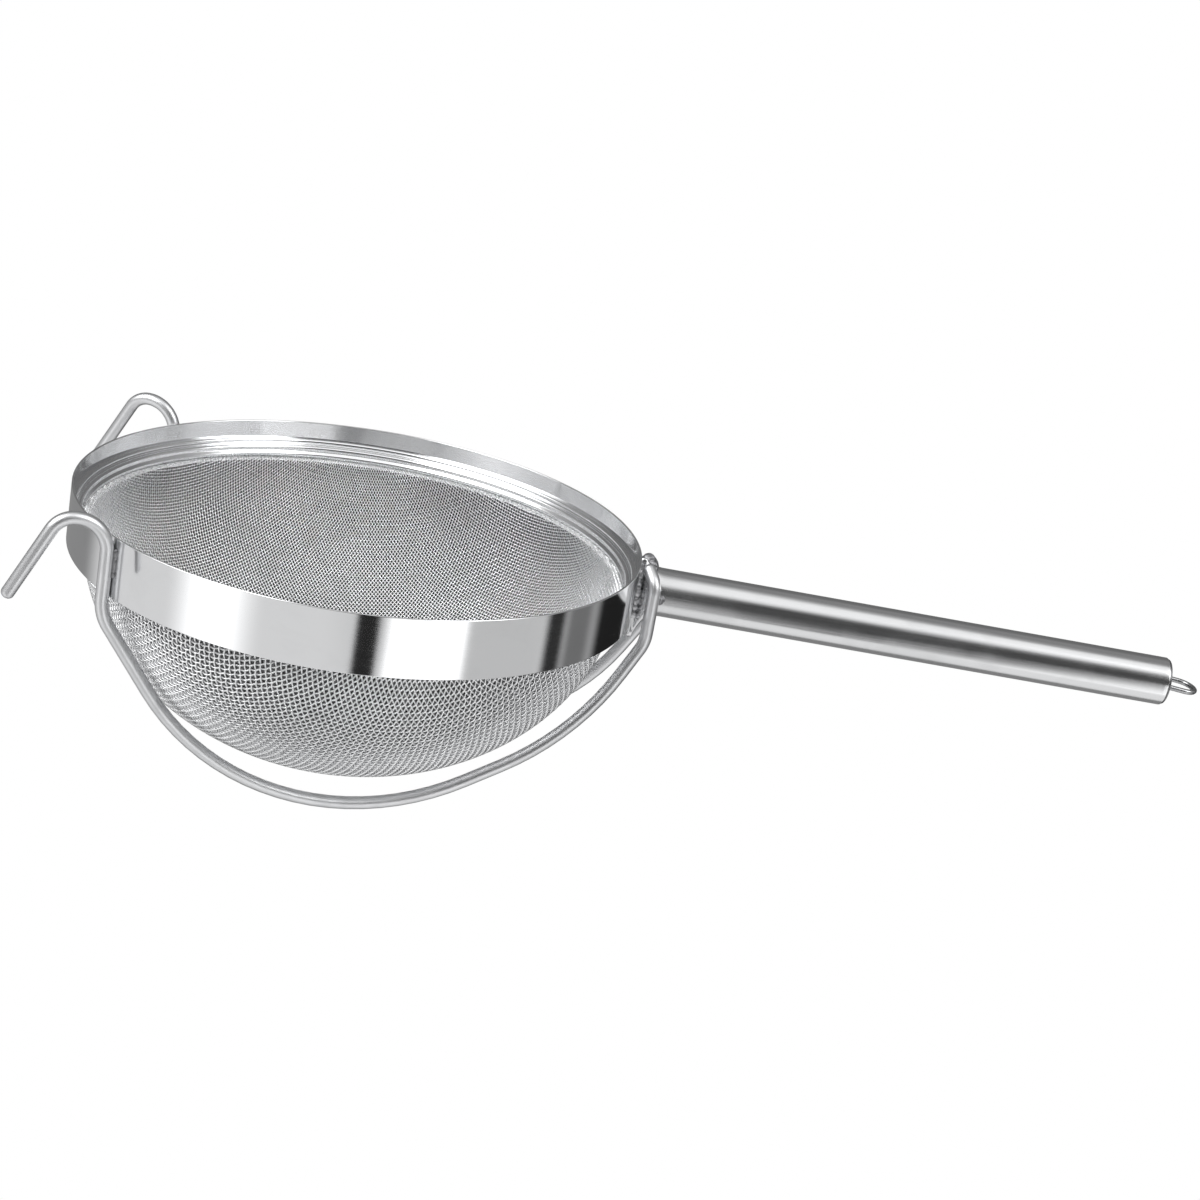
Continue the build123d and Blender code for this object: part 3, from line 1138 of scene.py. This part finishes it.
class STRAINER_OT_support_wires(bpy.types.Operator):
    """Sweep the two bent support wires with their hooks"""

    bl_idname = "strainer.support_wires"
    bl_label = "Support wires"

    def execute(self, context):
        wire = settings().wires
        radius = wire.diameter / 2
        material = steel("Drawn wire steel")
        for word, side in SIDES.items():
            corners, bends = support_route(side)
            points = filleted(corners, bends, supported=False)
            line, girth = with_round_tips(points, radius, wire.tip_share)
            name = f"{word}_bent_wire"
            mesh = swept_wire(name, line, girth, radius, wire.segments, material)
            keep_piece(name, mesh, "drawn_wire", f"{word}_support_wire")
        return {"FINISHED"}


def drooped(points):
    """Points with the handle's slope, turned about the handle's root."""
    handle, band = settings().handle, settings().band
    pivot = Matrix.Translation((band.diameter / 2, 0, -handle.drop))
    turn = np.array(pivot @ Matrix.Rotation(handle.droop, 4, "Y") @ pivot.inverted())
    return np.asarray(points) @ turn[:3, :3].T + turn[:3, 3]


# How far the blade goes into the band, rows of faces along the flare, the tube and its
# rounded end, and gaps to the rows that keep the straight parts straight.
BLADE_BITE = 0.3 * MM
FLARE_ROWS, TUBE_ROWS, END_ROWS = 25, 24, 7
BLADE_SUPPORT, END_SUPPORT, BORE_SUPPORT = 0.8 * MM, 2 * MM, 0.5 * MM


def handle_end():
    """Place along X of the tube's open end, before the handle slopes."""
    return settings().band.diameter / 2 + settings().handle.reach


def handle_sections():
    """Place, half width, half height and sag of each section of the handle."""
    handle = settings().handle
    start = settings().band.diameter / 2
    blade_end = start + handle.blade_length
    sag = handle.blade_height / 2 - handle.drop + handle.blade_top_drop
    rows = [(start - BLADE_BITE, 0.0), (blade_end - BLADE_SUPPORT, 0.0)]
    for part in np.linspace(0, 1, FLARE_ROWS):
        rows.append((blade_end + handle.flare_length * part, part))
    sections = []
    for place, part in rows:
        ease = 1 - (1 - part) ** 3
        width = handle.blade_thickness + (handle.diameter - handle.blade_thickness) * ease
        height = handle.blade_height + (handle.diameter - handle.blade_height) * ease
        sections.append((place, width / 2, height / 2, sag * (1 - ease)))
    radius = handle.diameter / 2
    straight = np.linspace(tube_start(), handle_end() - END_SUPPORT, TUBE_ROWS)[1:]
    return sections + [(place, radius, radius, 0.0) for place in straight]


class STRAINER_OT_handle(bpy.types.Operator):
    """Loft the tube handle from its flattened blade to its open end"""

    bl_idname = "strainer.handle"
    bl_label = "Tube handle"

    def execute(self, context):
        handle = settings().handle
        sections, end = handle_sections(), handle_end()
        radius = handle.diameter / 2
        rounding = handle.end_round
        outside = list(sections)
        for part in np.linspace(0, math.pi / 2, END_ROWS):
            shrink = rounding * (1 - math.cos(part))
            place = end - rounding * (1 - math.sin(part))
            outside.append((place, radius - shrink, radius - shrink, 0.0))
        bore = radius - handle.wall
        inside = [(end, bore, bore, 0.0), (end - BORE_SUPPORT, bore, bore, 0.0)]
        for place, half_width, half_height, sag in reversed(sections):
            inside.append((place, half_width - handle.wall, half_height - handle.wall, sag))
        turn = np.arange(handle.segments) * TURN / handle.segments
        rings = [
            np.stack(
                [
                    np.full(handle.segments, place),
                    half_width * np.cos(turn),
                    half_height * np.sin(turn) - handle.drop - sag,
                ],
                -1,
            )
            for place, half_width, half_height, sag in [*outside, *inside]
        ]
        points = drooped(np.concatenate(rings))
        faces = grid_faces(len(rings), handle.segments)
        mesh = smooth_mesh("tube_handle", points, faces, steel("Satin tube steel"))
        keep_piece("tube_handle", mesh, "satin_steel", "handle_tube")
        return {"FINISHED"}


CAP_SEGMENTS = 96
LOOP_SEGMENTS = 24
LOOP_ARC_POINTS = 41
LOOP_TIP_SHARE = 0.3


class STRAINER_OT_cap(bpy.types.Operator):
    """Turn the end cap"""

    bl_idname = "strainer.cap"
    bl_label = "End cap"

    def execute(self, context):
        handle, cap = settings().handle, settings().cap
        radius = handle.diameter / 2
        plug = radius - handle.wall - cap.clearance
        lip = radius - cap.lip_inset
        face = cap.clearance + cap.lip
        corners = [
            (0, -cap.depth),
            (plug, -cap.depth),
            (plug, cap.clearance),
            (lip, cap.clearance),
            (lip, face),
            (0, face),
        ]
        outline = filleted(corners, [0, cap.plug_round, 0, 0, cap.edge_round, 0], EDGE_STEP)
        points, faces = turned(outline, CAP_SEGMENTS)
        out = points[:, 2] + handle_end()
        axis = np.stack([out, points[:, 0], points[:, 1] - handle.drop], -1)
        # The cap's steel is darker than the tube's: painted shade.
        mesh = smooth_mesh("end_plug", drooped(axis), faces, steel("End cap steel"))
        keep_piece("end_plug", mesh, "satin_steel", "handle_end_cap")
        return {"FINISHED"}


class STRAINER_OT_loop(bpy.types.Operator):
    """Sweep the hanging loop"""

    bl_idname = "strainer.loop"
    bl_label = "Hanging loop"

    def execute(self, context):
        handle, cap = settings().handle, settings().cap
        end = handle_end()
        bend = cap.loop_spacing / 2
        radius = cap.loop_wire / 2
        start = end - cap.depth - cap.loop_tail
        bend_x = end + cap.loop_reach - radius - bend
        angles = np.linspace(-math.pi / 2, math.pi / 2, LOOP_ARC_POINTS)
        arc = [(bend_x + bend * math.cos(a), bend * math.sin(a)) for a in angles]
        leg = (start, end, (end + bend_x) / 2)
        flat = [*((x, -bend) for x in leg), *arc, *((x, bend) for x in reversed(leg))]
        tilt = math.tan(cap.loop_tilt)
        points = np.array([(x, y, -handle.drop - tilt * max(0, x - end)) for x, y in flat])
        line, girth = with_round_tips(drooped(points), radius, LOOP_TIP_SHARE)
        # The loop's steel is darker than the support wires': painted shade.
        material = steel("Loop wire steel")
        mesh = swept_wire("loop_wire", line, girth, radius, LOOP_SEGMENTS, material)
        keep_piece("loop_wire", mesh, "drawn_wire", "hanging_loop")
        return {"FINISHED"}


# Beads: balls are melted together on a grid of voxels, smoothed and made uneven.
BEAD_VOXEL = 0.25 * MM
BEAD_SMOOTHING = 0.5
BEAD_SMOOTHINGS = 4
BUMP_FINENESS = 900
BUMP_HEIGHT = 0.25 * MM
WELD_BITE = 0.4


def lumpy_bead(name, balls, node, inner_limit=None, finish="Weld bead steel", voxel=BEAD_VOXEL):
    """One weld, given as balls of a place and a radius, kept outside the inner limit."""
    shape = bmesh.new()
    for place, radius in balls:
        spot = Matrix.Translation(Vector(place))
        bmesh.ops.create_icosphere(shape, subdivisions=3, radius=radius, matrix=spot)
    mesh = bpy.data.meshes.new(name)
    shape.to_mesh(mesh)
    shape.free()
    holder = bpy.data.objects.new(name, mesh)
    bpy.context.scene.collection.objects.link(holder)
    remesh = holder.modifiers.new("Run together", "REMESH")
    remesh.mode = "VOXEL"
    remesh.voxel_size = voxel
    smooth = holder.modifiers.new("Soften", "SMOOTH")
    smooth.factor = BEAD_SMOOTHING
    smooth.iterations = BEAD_SMOOTHINGS
    made = plain_mesh(name, holder, mesh)
    for vertex in made.vertices:
        wobble = noise.noise(vertex.co * BUMP_FINENESS) * BUMP_HEIGHT
        vertex.co += vertex.normal * wobble
        reach = math.hypot(vertex.co.x, vertex.co.y)
        if inner_limit and reach < inner_limit:
            vertex.co.x *= inner_limit / reach
            vertex.co.y *= inner_limit / reach
    made.materials.clear()
    made.materials.append(steel(finish))
    made.shade_smooth()
    keep_piece(name, made, "weld_steel", node)


# Sizes of the beads in millimetres; a run is its first and last place and its number of
# balls. The hooks' beads wander, and the blade's differ in place and size by chance.
HOOK_RUN = (4.9, 14.1, 19)
HOOK_BALL = 1.05
HOOK_OFFSET_SHARE = 0.6
HOOK_WANDER, HOOK_WAVE = 0.08, 2.3
ROOT_SEAT = 0.55
ROOT_BALLS = ((0, 0, 0, 2.0), (1.0, 0.3, 0.3, 1.5))
TIP_SEAT, TIP_SINK, TIP_BALL = 0.5, 2, 1.9
COVER_PLACE, COVER_EXTRA = (0.4, 4.7, -2.2), 0.2
COVER_LUMP, COVER_LUMP_BALL = (1.4, -0.8, 1.2), 1.4
BEAD_SEED = 7
BLADE_RUN = (0.16, 0.7, 10)
BLADE_OUT, BLADE_OFF, BLADE_SLIP = (0.1, 0.8), (0.0, 1.1), (-0.02, 0.02)
BLADE_BALL = (1.3, 2.2)
BLADE_MIDDLE, BLADE_END_SIZE = (0.3, 0.6), 0.7
LOOP_BALLS = 8
LOOP_SEAT, LOOP_OFFSET, LOOP_BALL = 0.5, 0.3, 0.7
LOOP_VOXEL = 0.2 * MM


class STRAINER_OT_welds(bpy.types.Operator):
    """Lay the weld beads at the hooks, the blade, the wires and the loop"""

    bl_idname = "strainer.welds"
    bl_label = "Welds"

    def execute(self, context):
        band = settings().band
        wall = band.diameter / 2 - WELD_BITE * band.thickness
        for word, side in SIDES.items():
            lumpy_bead(f"{word}_hook_bead", self.hook_balls(side), f"{word}_hook_weld", wall)
        for word, side in SIDES.items():
            lumpy_bead(f"{word}_root_bead", self.root_balls(side), f"{word}_root_weld")
            lumpy_bead(f"{word}_tip_bead", self.tip_balls(side), f"{word}_tip_weld", wall)
        blade = self.blade_balls()
        # The blade's beads take the lighter weld steel: painted highlight.
        lumpy_bead("blade_beads", blade, "handle_band_weld", wall, "Blade weld steel")
        lumpy_bead("loop_beads", self.loop_balls(), "loop_weld", voxel=LOOP_VOXEL)
        return {"FINISHED"}

    def hook_balls(self, side):
        """Balls down both edges of a hook's leg, where it stands on the band."""
        band, wire = settings().band, settings().wires
        outward = np.array([-math.cos(wire.hook_angle), side * math.sin(wire.hook_angle), 0])
        across = np.array([-outward[1], outward[0], 0])
        offset = wire.diameter / 2 * HOOK_OFFSET_SHARE
        balls = []
        for hand in (-1, 1):
            for drop in np.linspace(*HOOK_RUN):
                lean = HOOK_WANDER * math.sin(drop * HOOK_WAVE + hand)
                place = outward * (band.diameter / 2) + across * (hand * (offset + lean * MM))
                balls.append((place - np.array([0, 0, drop * MM]), HOOK_BALL * MM))
        return balls

    def root_balls(self, side):
        """Balls between a support wire and the tube's side."""
        wire, handle = settings().wires, settings().handle
        seat_x = tube_start() - ROOT_SETBACK + wire.diameter / 2
        seat_y = side * (handle.diameter / 2 + ROOT_SEAT * MM)
        seat = np.array([seat_x, seat_y, -handle.drop])
        return [
            (seat + np.array([x, -side * inward, z]) * MM, radius * MM)
            for x, inward, z, radius in ROOT_BALLS
        ]

    def tip_balls(self, side):
        """Balls at a support wire's top end; at the far side they cover the end."""
        wire, handle = settings().wires, settings().handle
        wire_radius = wire.diameter / 2
        leg = leg_radius()
        tip_y = side * (handle.blade_thickness / 2 + TIP_SEAT * MM)
        tip_z = -handle.blade_top_drop - TIP_LOWERING - TIP_SINK * MM
        balls = [(np.array([leg + wire_radius, tip_y, tip_z]), TIP_BALL * MM)]
        if side == SIDES["far"]:
            cover = np.array([leg, 0, -handle.blade_top_drop]) + np.array(COVER_PLACE) * MM
            balls.append((cover, wire_radius + COVER_EXTRA * MM))
            balls.append((cover + np.array(COVER_LUMP) * MM, COVER_LUMP_BALL * MM))
        return balls

    def blade_balls(self):
        """Uneven balls down both sides of the blade, smaller at both ends."""
        rim, handle = settings().band.diameter / 2, settings().handle
        chance = random.Random(BEAD_SEED)
        balls = []
        for side in SIDES.values():
            for part in np.linspace(*BLADE_RUN):
                out = rim + chance.uniform(*BLADE_OUT) * MM
                off = handle.blade_thickness / 2 + chance.uniform(*BLADE_OFF) * MM
                down = handle.blade_height * (part + chance.uniform(*BLADE_SLIP))
                seat = np.array([out, side * off, -handle.blade_top_drop - down])
                swell = 1.0 if BLADE_MIDDLE[0] < part < BLADE_MIDDLE[1] else BLADE_END_SIZE
                balls.append((seat, chance.uniform(*BLADE_BALL) * swell * MM))
        return balls

    def loop_balls(self):
        """Balls round both legs of the loop, behind the cap."""
        handle, cap = settings().handle, settings().cap
        reach = cap.loop_wire / 2 + LOOP_OFFSET * MM
        seat_x = handle_end() - cap.depth - LOOP_SEAT * MM
        balls = []
        for side in SIDES.values():
            for turn in np.linspace(0, TURN, LOOP_BALLS, endpoint=False):
                y = side * cap.loop_spacing / 2 + reach * math.cos(turn)
                seat = np.array([seat_x, y, -handle.drop + reach * math.sin(turn)])
                balls.append((drooped(seat[None])[0], LOOP_BALL * MM))
        return balls


CAMERA_PLACE = (0.034816, -0.880983, 0.297908)
CAMERA_RIGHT = (0.98528296, -0.00763129, 0.1707608)
CAMERA_DOWN = (0.15763095, -0.34578772, -0.92497748)
CAMERA_FORWARD = (0.06610576, 0.93828173, -0.33949583)
CLIP_NEAR, CLIP_FAR = 0.01, 50

# Studio panels round the strainer, in degrees: name, bearing, half width, height,
# half height, softness, light. A later panel hides an earlier one.
ROOM_LIGHT = 0.4
PANELS = (
    ("back of the room", 90, 60, 26, 42, 14, 0.17),
    ("dark horizon", -90, 58, 14, 26, 8, 0.06),
    ("overhead", -90, 180, 70, 21, 10, 1.12),
    ("back of the ceiling", 90, 80, 59, 20, 16, 0.26),
    ("left softbox", -150, 32, 46, 20, 10, 4.8),
    ("right softbox", -28, 20, 40, 17, 8, 4.8),
    ("under the bowl", 90, 75, -74, 22, 10, 0.25),
    ("table", -90, 105, -55, 32, 14, 0.95),
    ("back of the table", 90, 60, -30, 26, 12, 0.26),
    ("left wall", -148, 60, -24, 22, 10, 0.72),
    ("left window", -141, 8.5, -24, 24, 14, 1.9),
    ("right window", -55, 16, -24, 24, 2.5, 1.45),
    ("black flag", -79, 4.5, -20, 24, 1.2, 0.02),
    ("right wall", -21, 17, -24, 22, 3.5, 0.56),
    ("dark gap", 3, 5, -24, 26, 2.5, 0.03),
    ("grey card", 17, 8, -24, 24, 4, 0.17),
    ("black card", 45, 15, -24, 28, 4, 0.015),
)
PANEL_ANGLES = ("Panel Bearing", "Half Width", "Panel Rise", "Half Height", "Softness")


def panel_group():
    """One soft-edged panel of the studio, laid over what is behind it."""
    name = "Studio panel"
    if name in bpy.data.node_groups:
        return bpy.data.node_groups[name]
    labels = ("Bearing", "Rise", "Behind", *PANEL_ANGLES, "Light")
    tree, given = new_group(
        name,
        "ShaderNodeTree",
        [(label, "NodeSocketFloat", 0.0) for label in labels],
        [("Light", "NodeSocketFloat")],
    )
    masks = []
    for value, centre, half in (
        ("Bearing", "Panel Bearing", "Half Width"),
        ("Rise", "Panel Rise", "Half Height"),
    ):
        off = maths(tree, "SUBTRACT", given[value], given[centre])
        reach = maths(tree, "ABSOLUTE", maths(tree, "WRAP", off, -math.pi, math.pi))
        edges = {
            "From Min": maths(tree, "SUBTRACT", given[half], given["Softness"]),
            "From Max": maths(tree, "ADD", given[half], given["Softness"]),
        }
        mask = output_of(
            tree,
            "ShaderNodeMapRange",
            {"Value": reach, **edges, "To Min": 1.0, "To Max": 0.0},
            interpolation_type="SMOOTHSTEP",
        )
        masks.append(mask)
    both = maths(tree, "MULTIPLY", *masks)
    laid = output_of(tree, "ShaderNodeMix", {0: both, 2: given["Behind"], 3: given["Light"]})
    place_node(tree, "NodeGroupOutput", {"Light": laid})
    return tree


class STRAINER_OT_stage(bpy.types.Operator):
    """Set up the pale floor, the soft studio light and the camera"""

    bl_idname = "strainer.stage"
    bl_label = "Stage"

    def execute(self, context):
        stage, scene = settings().stage, context.scene
        self.lay_floor(scene, stage)
        self.light_room(scene)
        scene.view_settings.view_transform = "Standard"
        self.stand_camera(scene, stage)
        return {"FINISHED"}

    def lay_floor(self, scene, stage):
        """Plain pale floor just under the strainer, which the steel doesn't mirror."""
        half = stage.floor_size / 2
        height = CAD_BOX[0][2] - stage.floor_gap
        corners = [
            (x * half, y * half, height) for x, y in ((-1, -1), (1, -1), (1, 1), (-1, 1))
        ]
        mesh = bpy.data.meshes.new("pale_floor")
        mesh.from_pydata(corners, [], [(0, 1, 2, 3)])
        material = bpy.data.materials.new("Pale floor")
        tree = emptied_tree(material)
        inputs = {"Color": (*stage.floor_colour, 1), "Strength": 1.0}
        glow = output_of(tree, "ShaderNodeEmission", inputs)
        place_node(tree, "ShaderNodeOutputMaterial", {"Surface": glow})
        mesh.materials.append(material)
        floor = bpy.data.objects.new("pale_floor", mesh)
        scene.collection.objects.link(floor)
        floor.visible_glossy = False
        floor.visible_shadow = False
        floor.visible_diffuse = False

    def light_room(self, scene):
        """Surroundings that the steel mirrors; the camera itself sees plain white."""
        scene.world = bpy.data.worlds.new("Studio")
        tree = emptied_tree(scene.world)
        look = place_node(tree, "ShaderNodeTexCoord").outputs["Generated"]
        x, y, z = place_node(tree, "ShaderNodeSeparateXYZ", {"Vector": look}).outputs
        bearing = maths(tree, "ARCTAN2", y, x)
        rise = maths(tree, "ARCSINE", z)
        light = ROOM_LIGHT
        for _, *angles, value in PANELS:
            inputs = {"Bearing": bearing, "Rise": rise, "Behind": light, "Light": value}
            inputs.update(zip(PANEL_ANGLES, map(math.radians, angles)))
            panel = place_node(tree, "ShaderNodeGroup", inputs, node_tree=panel_group())
            light = panel.outputs["Light"]
        camera_ray = place_node(tree, "ShaderNodeLightPath").outputs["Is Camera Ray"]
        seen = output_of(tree, "ShaderNodeMix", {0: camera_ray, 2: light, 3: 1.0})
        inputs = {"Color": (1, 1, 1, 1), "Strength": seen}
        background = output_of(tree, "ShaderNodeBackground", inputs)
        place_node(tree, "ShaderNodeOutputWorld", {"Surface": background})

    def stand_camera(self, scene, stage):
        """Camera at the photograph's viewing angle."""
        data = bpy.data.cameras.new("camera")
        data.lens = stage.focal_length
        data.clip_start, data.clip_end = CLIP_NEAR, CLIP_FAR
        camera = bpy.data.objects.new("camera", data)
        scene.collection.objects.link(camera)
        up = [-value for value in CAMERA_DOWN]
        back = [-value for value in CAMERA_FORWARD]
        axes = Matrix((CAMERA_RIGHT, up, back)).transposed()
        camera.matrix_world = Matrix.Translation(CAMERA_PLACE) @ axes.to_4x4()
        scene.camera = camera


OPERATORS = (
    STRAINER_OT_band,
    STRAINER_OT_ring,
    STRAINER_OT_outer_cloth,
    STRAINER_OT_inner_cloth,
    STRAINER_OT_cloth_shade,
    STRAINER_OT_support_wires,
    STRAINER_OT_handle,
    STRAINER_OT_cap,
    STRAINER_OT_loop,
    STRAINER_OT_welds,
    STRAINER_OT_stage,
)


class STRAINER_PT_panel(bpy.types.Panel):
    """Lists the pieces of the strainer"""

    bl_label = "Round strainer"
    bl_idname = "STRAINER_PT_panel"
    bl_space_type = "VIEW_3D"
    bl_region_type = "UI"
    bl_category = "Strainer"

    def draw(self, context):
        for operator in OPERATORS:
            self.layout.operator(operator.bl_idname)


CLASSES = (
    BandSizes,
    RingSizes,
    ClothSizes,
    ShadeSizes,
    WireSizes,
    HandleSizes,
    CapSizes,
    SteelColours,
    StageSizes,
    StrainerSettings,
    *OPERATORS,
    STRAINER_PT_panel,
)


def register():
    for each in CLASSES:
        bpy.utils.register_class(each)
    bpy.types.Scene.strainer = PointerProperty(type=StrainerSettings)


def unregister():
    del bpy.types.Scene.strainer
    for each in reversed(CLASSES):
        bpy.utils.unregister_class(each)


def main():
    register()
    bpy.ops.strainer.band()
    bpy.ops.strainer.ring()
    bpy.ops.strainer.outer_cloth()
    bpy.ops.strainer.inner_cloth()
    bpy.ops.strainer.cloth_shade()
    bpy.ops.strainer.support_wires()
    bpy.ops.strainer.handle()
    bpy.ops.strainer.cap()
    bpy.ops.strainer.loop()
    bpy.ops.strainer.welds()
    bpy.ops.strainer.stage()


if __name__ == "__main__":
    main()
